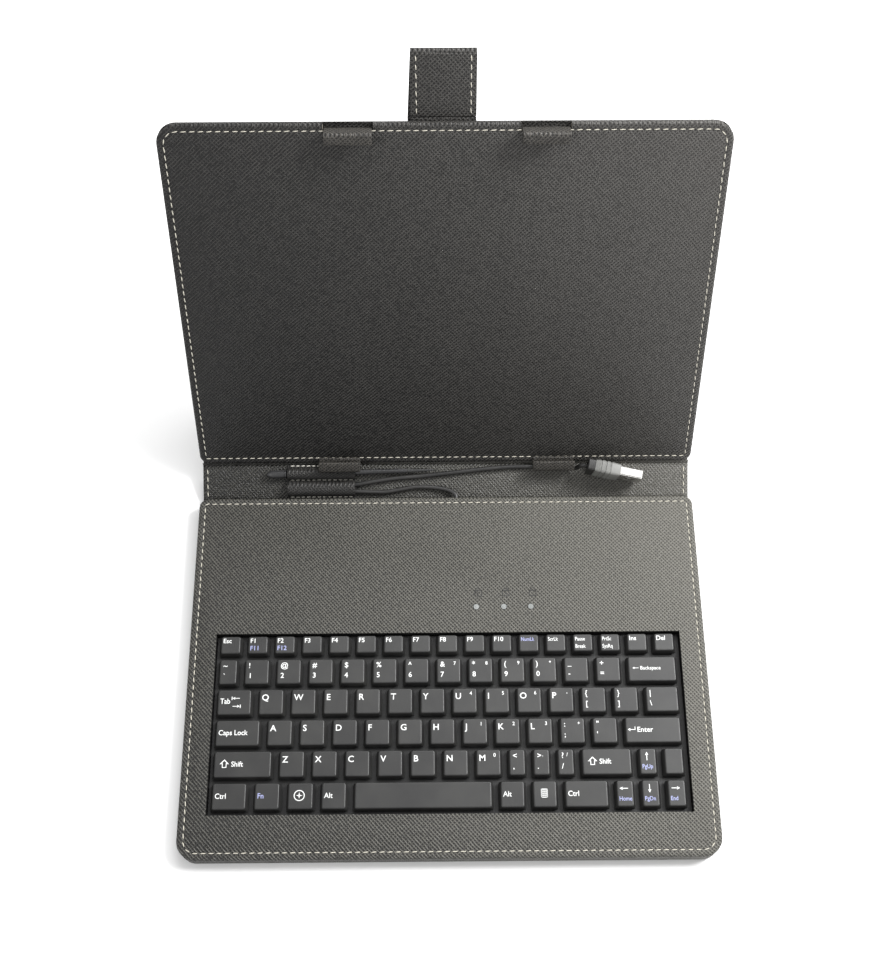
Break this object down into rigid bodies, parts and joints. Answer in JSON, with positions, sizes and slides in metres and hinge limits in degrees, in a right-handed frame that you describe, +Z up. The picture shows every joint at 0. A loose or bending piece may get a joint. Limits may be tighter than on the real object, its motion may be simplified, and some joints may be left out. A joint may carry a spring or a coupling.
{
  "type": "tablet keyboard case",
  "caption": "Folding leathercloth tablet case with a wired keyboard in its base, tablet hooks on a propped lid, a closing strap and a stylus in a loop.",
  "frame": {"origin": "middle of the base's underside, on the surface it rests on", "axes": "+X right, +Y from the front edge to the back, +Z up"},
  "size_m": [0.27, 0.3253, 0.2122],
  "materials": {
    "case_leather": "black cross-grained leathercloth with pale stitching",
    "greyboard": "pressed board, hidden",
    "foam": "dense foam, hidden",
    "module_plastic": "satin black",
    "key_caps": "satin black with white print",
    "film": "clear film, hidden",
    "silicone": "translucent silicone, hidden",
    "circuit_board": "green lacquer, hidden",
    "lens": "milky light guide",
    "steel": "plated steel",
    "cable_rubber": "satin black jacket",
    "plug_grey": "grey overmould",
    "elastic": "woven elastic, hidden",
    "stylus_plastic": "black",
    "stylus_tip": "pale grey"
  },
  "bodies": {
    "base": {"base_outer_cover": "case_leather", "base_board": "greyboard", "base_spacer_frame": "foam", "base_liner_panel": "case_leather", "keyboard_tray": "module_plastic", "key_guide_frame": "module_plastic", "membrane_sheet": "film", "dome_sheet": "silicone", "controller_board": "circuit_board", "indicator_light_guide": "lens", "closure_plate": "steel", "cable_strain_relief": "cable_rubber", "base_fold_strip": "case_leather"},
    "spine": {"spine_outer_cover": "case_leather", "spine_stiffener": "greyboard", "spine_liner": "case_leather", "loop_patch": "case_leather", "lid_fold_strip": "case_leather", "usb_cable": "cable_rubber", "usb_plug_body": "plug_grey", "usb_plug_shell": "steel", "usb_plug_tongue": "module_plastic"},
    "lid": {"lid_outer_cover": "case_leather", "lid_board": "greyboard", "lid_liner": "case_leather", "bottom_hook_left": "case_leather", "bottom_hook_right": "case_leather", "strap_anchor": "case_leather", "hook_elastic_left": "elastic", "hook_elastic_right": "elastic"},
    "top_hook_left": {"top_hook_left": "case_leather"},
    "top_hook_right": {"top_hook_right": "case_leather"},
    "strap": {"strap_root": "case_leather"},
    "strap_tip": {"strap_end": "case_leather", "strap_magnet": "steel"},
    "prop_leg": {"prop_leg": "case_leather"},
    "stylus": {"stylus_cap": "stylus_plastic", "stylus_barrel": "stylus_plastic", "stylus_tip": "stylus_tip"},
    "key_escape": {"key_escape": "key_caps"},
    "keys_function": {"keys_function": "key_caps"},
    "keys_lock_and_edit": {"keys_lock_and_edit": "key_caps"},
    "keys_numbers": {"keys_numbers": "key_caps"},
    "key_backspace": {"key_backspace": "key_caps"},
    "key_tab": {"key_tab": "key_caps"},
    "keys_upper_letters": {"keys_upper_letters": "key_caps"},
    "key_caps_lock": {"key_caps_lock": "key_caps"},
    "keys_home_letters": {"keys_home_letters": "key_caps"},
    "key_enter": {"key_enter": "key_caps"},
    "key_shift_left": {"key_shift_left": "key_caps"},
    "keys_lower_letters": {"keys_lower_letters": "key_caps"},
    "key_shift_right": {"key_shift_right": "key_caps"},
    "key_arrow_up": {"key_arrow_up": "key_caps"},
    "key_blank": {"key_blank": "key_caps"},
    "key_control_left": {"key_control_left": "key_caps"},
    "key_function_shift": {"key_function_shift": "key_caps"},
    "keys_system_and_alt": {"keys_system_and_alt": "key_caps"},
    "key_space": {"key_space": "key_caps"},
    "keys_modifiers_right": {"keys_modifiers_right": "key_caps"},
    "keys_arrows": {"keys_arrows": "key_caps"}
  },
  "joints": [
    {"name": "spine_fold", "type": "hinge", "parent": "base", "child": "spine", "pos_m": [0, 0.0994, 0.001], "axis": [1, 0, 0], "range_deg": [-26.57, 63.43], "deforming": ["base_fold_strip", "loop_patch", "usb_cable", "usb_plug_body", "usb_plug_shell", "usb_plug_tongue", "bottom_hook_left", "bottom_hook_right"]},
    {"name": "lid_fold", "type": "hinge", "parent": "spine", "child": "lid", "pos_m": [0, 0.11832, 0.01046], "axis": [1, 0, 0], "range_deg": [-35.99, 54.01], "deforming": ["lid_fold_strip", "loop_patch", "bottom_hook_left", "bottom_hook_right", "usb_cable", "usb_plug_body", "usb_plug_shell", "usb_plug_tongue"]},
    {"name": "top_hook_left_pull", "type": "slide", "parent": "lid", "child": "top_hook_left", "axis": [0, 0.4608, 0.8875], "range_m": [0, 0.008], "stiffness_N_per_m": 120, "deforming": ["hook_elastic_left"]},
    {"name": "top_hook_right_pull", "type": "slide", "parent": "lid", "child": "top_hook_right", "axis": [0, 0.4608, 0.8875], "range_m": [0, 0.008], "stiffness_N_per_m": 120, "deforming": ["hook_elastic_right"]},
    {"name": "strap_bend", "type": "hinge", "parent": "lid", "child": "strap", "pos_m": [0, 0.21074, 0.18563], "axis": [1, 0, 0], "range_deg": [0, 90]},
    {"name": "strap_fold", "type": "hinge", "parent": "strap", "child": "strap_tip", "pos_m": [-0.00075, 0.22623, 0.21156], "axis": [0.9986, -0.0241, -0.0464], "range_deg": [0, 180]},
    {"name": "prop_leg_fold", "type": "hinge", "parent": "lid", "child": "prop_leg", "pos_m": [0, 0.17109, 0.10926], "axis": [1, 0, 0], "range_deg": [-34.09, 0]},
    {"name": "stylus_slide", "type": "slide", "parent": "spine", "child": "stylus", "axis": [-0.9998, -0.0195, -0.0098], "range_m": [0, 0.095]},
    {"name": "key_escape_press", "type": "slide", "parent": "base", "child": "key_escape", "axis": [0, 0, -1], "range_m": [0, 0.0016], "stiffness_N_per_m": 500, "deforming": ["dome_sheet"]},
    {"name": "keys_function_press", "type": "slide", "parent": "base", "child": "keys_function", "axis": [0, 0, -1], "range_m": [0, 0.0016], "stiffness_N_per_m": 1400, "deforming": ["dome_sheet"]},
    {"name": "keys_lock_and_edit_press", "type": "slide", "parent": "base", "child": "keys_lock_and_edit", "axis": [0, 0, -1], "range_m": [0, 0.0016], "stiffness_N_per_m": 1000, "deforming": ["dome_sheet"]},
    {"name": "keys_numbers_press", "type": "slide", "parent": "base", "child": "keys_numbers", "axis": [0, 0, -1], "range_m": [0, 0.0016], "stiffness_N_per_m": 1700, "deforming": ["dome_sheet"]},
    {"name": "key_backspace_press", "type": "slide", "parent": "base", "child": "key_backspace", "axis": [0, 0, -1], "range_m": [0, 0.0016], "stiffness_N_per_m": 500, "deforming": ["dome_sheet"]},
    {"name": "key_tab_press", "type": "slide", "parent": "base", "child": "key_tab", "axis": [0, 0, -1], "range_m": [0, 0.0016], "stiffness_N_per_m": 500, "deforming": ["dome_sheet"]},
    {"name": "keys_upper_letters_press", "type": "slide", "parent": "base", "child": "keys_upper_letters", "axis": [0, 0, -1], "range_m": [0, 0.0016], "stiffness_N_per_m": 1700, "deforming": ["dome_sheet"]},
    {"name": "key_caps_lock_press", "type": "slide", "parent": "base", "child": "key_caps_lock", "axis": [0, 0, -1], "range_m": [0, 0.0016], "stiffness_N_per_m": 500, "deforming": ["dome_sheet"]},
    {"name": "keys_home_letters_press", "type": "slide", "parent": "base", "child": "keys_home_letters", "axis": [0, 0, -1], "range_m": [0, 0.0016], "stiffness_N_per_m": 1500, "deforming": ["dome_sheet"]},
    {"name": "key_enter_press", "type": "slide", "parent": "base", "child": "key_enter", "axis": [0, 0, -1], "range_m": [0, 0.0016], "stiffness_N_per_m": 500, "deforming": ["dome_sheet"]},
    {"name": "key_shift_left_press", "type": "slide", "parent": "base", "child": "key_shift_left", "axis": [0, 0, -1], "range_m": [0, 0.0016], "stiffness_N_per_m": 500, "deforming": ["dome_sheet"]},
    {"name": "keys_lower_letters_press", "type": "slide", "parent": "base", "child": "keys_lower_letters", "axis": [0, 0, -1], "range_m": [0, 0.0016], "stiffness_N_per_m": 1400, "deforming": ["dome_sheet"]},
    {"name": "key_shift_right_press", "type": "slide", "parent": "base", "child": "key_shift_right", "axis": [0, 0, -1], "range_m": [0, 0.0016], "stiffness_N_per_m": 500, "deforming": ["dome_sheet"]},
    {"name": "key_arrow_up_press", "type": "slide", "parent": "base", "child": "key_arrow_up", "axis": [0, 0, -1], "range_m": [0, 0.0016], "stiffness_N_per_m": 500, "deforming": ["dome_sheet"]},
    {"name": "key_blank_press", "type": "slide", "parent": "base", "child": "key_blank", "axis": [0, 0, -1], "range_m": [0, 0.0016], "stiffness_N_per_m": 500, "deforming": ["dome_sheet"]},
    {"name": "key_control_left_press", "type": "slide", "parent": "base", "child": "key_control_left", "axis": [0, 0, -1], "range_m": [0, 0.0016], "stiffness_N_per_m": 500, "deforming": ["dome_sheet"]},
    {"name": "key_function_shift_press", "type": "slide", "parent": "base", "child": "key_function_shift", "axis": [0, 0, -1], "range_m": [0, 0.0016], "stiffness_N_per_m": 500, "deforming": ["dome_sheet"]},
    {"name": "keys_system_and_alt_press", "type": "slide", "parent": "base", "child": "keys_system_and_alt", "axis": [0, 0, -1], "range_m": [0, 0.0016], "stiffness_N_per_m": 600, "deforming": ["dome_sheet"]},
    {"name": "key_space_press", "type": "slide", "parent": "base", "child": "key_space", "axis": [0, 0, -1], "range_m": [0, 0.0016], "stiffness_N_per_m": 500, "deforming": ["dome_sheet"]},
    {"name": "keys_modifiers_right_press", "type": "slide", "parent": "base", "child": "keys_modifiers_right", "axis": [0, 0, -1], "range_m": [0, 0.0016], "stiffness_N_per_m": 700, "deforming": ["dome_sheet"]},
    {"name": "keys_arrows_press", "type": "slide", "parent": "base", "child": "keys_arrows", "axis": [0, 0, -1], "range_m": [0, 0.0016], "stiffness_N_per_m": 700, "deforming": ["dome_sheet"]}
  ]
}
